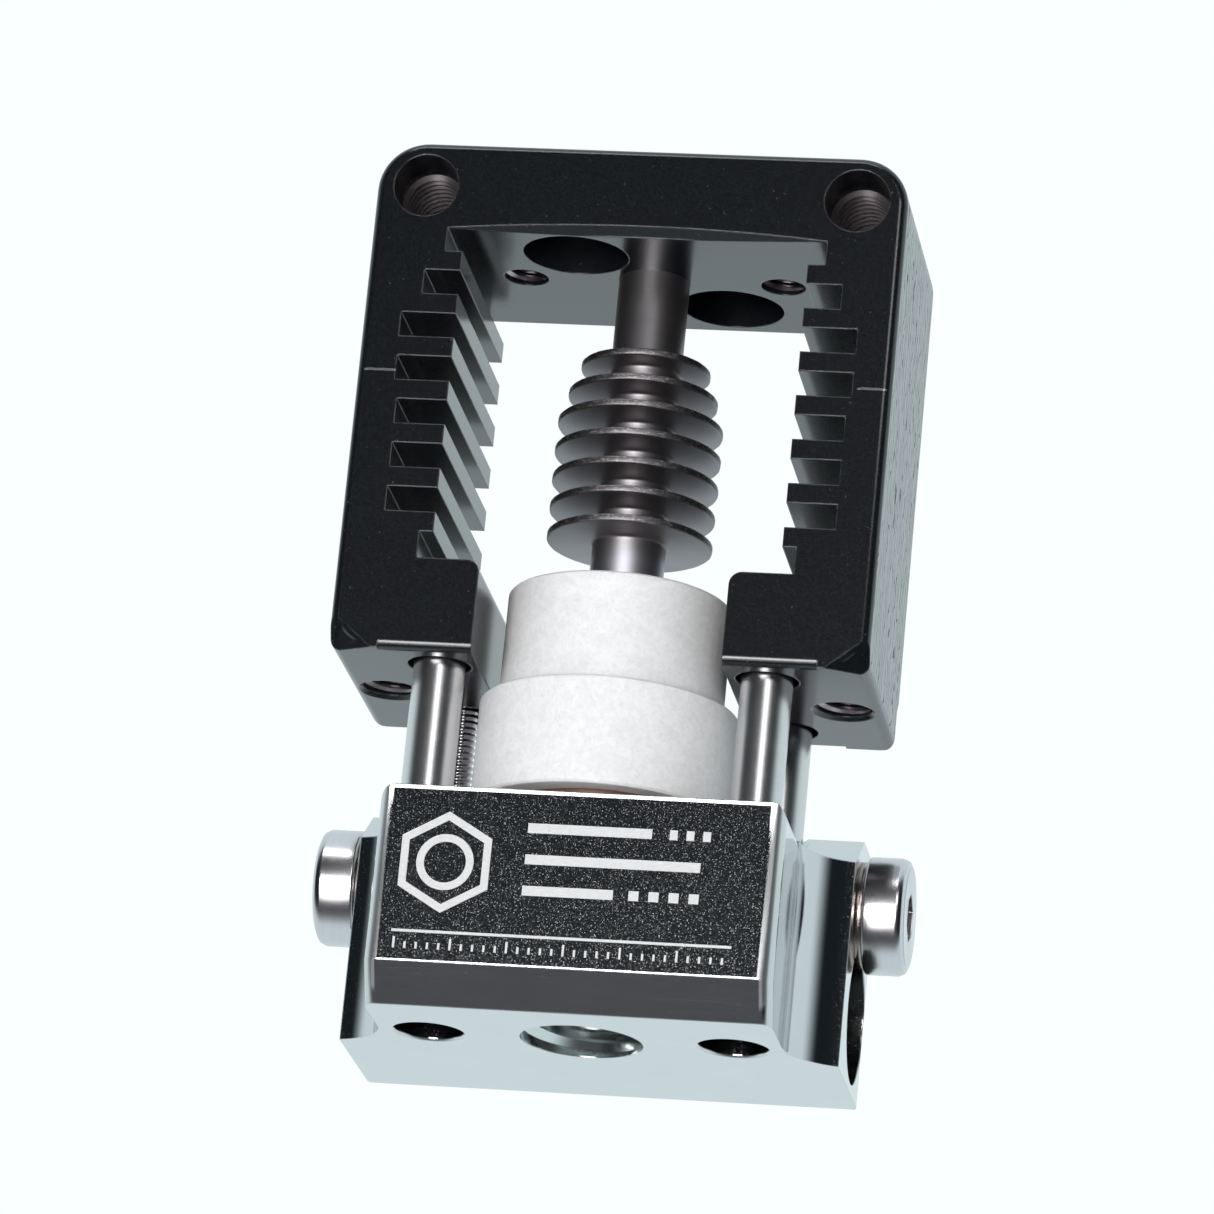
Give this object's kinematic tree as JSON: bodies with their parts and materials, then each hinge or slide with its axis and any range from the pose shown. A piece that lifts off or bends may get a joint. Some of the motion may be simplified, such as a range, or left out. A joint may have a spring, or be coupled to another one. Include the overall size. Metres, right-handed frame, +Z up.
{
  "type": "hotend assembly",
  "caption": "Filament hotend: open heat sink frame with toothed legs, finned heat break on ceramic rings, and a heater block hung on slim posts.",
  "frame": {"origin": "centre of the nozzle port's mouth on the heater block's underside", "axes": "+Z up towards the filament inlet, -Y towards the fan side, +X towards the heater bore's right mouth"},
  "size_m": [0.0274, 0.0163, 0.0407],
  "materials": {
    "black_anodised": "fine matte black anodising",
    "heat_break": "turned, dark bronze",
    "stainless": "polished stainless steel",
    "copper": "bare copper alloy",
    "black_steel": "black oxide",
    "ceramic": "unglazed white machinable ceramic",
    "nickel": "satin nickel plating over copper",
    "washer": "heat-tinted steel"
  },
  "bodies": {
    "hotend": {"heat_sink_frame": "black_anodised", "heat_break_sleeve": "heat_break", "heat_break_tube": "stainless", "heat_break_collar": "copper", "heat_break_set_screw": "black_steel", "upper_insulator": "ceramic", "lower_insulator": "ceramic", "seat_ring": "copper", "heater_block": "nickel", "post_sleeve_front_left": "stainless", "post_sleeve_front_right": "stainless", "post_sleeve_rear_right": "stainless", "post_stud_front_left": "stainless", "post_stud_front_right": "stainless", "post_stud_rear_left": "stainless", "post_stud_rear_right": "stainless"},
    "left_washer": {"clamp_washer_left": "washer"},
    "left_screw": {"clamp_screw_left": "stainless"},
    "right_washer": {"clamp_washer_right": "washer"},
    "right_screw": {"clamp_screw_right": "stainless"}
  },
  "joints": [
    {"name": "left_travel", "type": "slide", "parent": "hotend", "child": "left_washer", "axis": [-1, 0, 0], "range_m": [0, 0.0015]},
    {"name": "left_turn", "type": "hinge", "parent": "left_washer", "child": "left_screw", "pos_m": [-0.01145, 0.0054, 0.00805], "axis": [-1, 0, 0], "range_deg": [0, 1080]},
    {"name": "right_travel", "type": "slide", "parent": "hotend", "child": "right_washer", "axis": [1, 0, 0], "range_m": [0, 0.0015]},
    {"name": "right_turn", "type": "hinge", "parent": "right_washer", "child": "right_screw", "pos_m": [0.01145, 0.0054, 0.00805], "axis": [1, 0, 0], "range_deg": [0, 1080]}
  ],
  "couplings": [
    {"joint": "left_turn", "follows": "left_travel", "rad_per_m": 12566},
    {"joint": "right_turn", "follows": "right_travel", "rad_per_m": 12566}
  ]
}
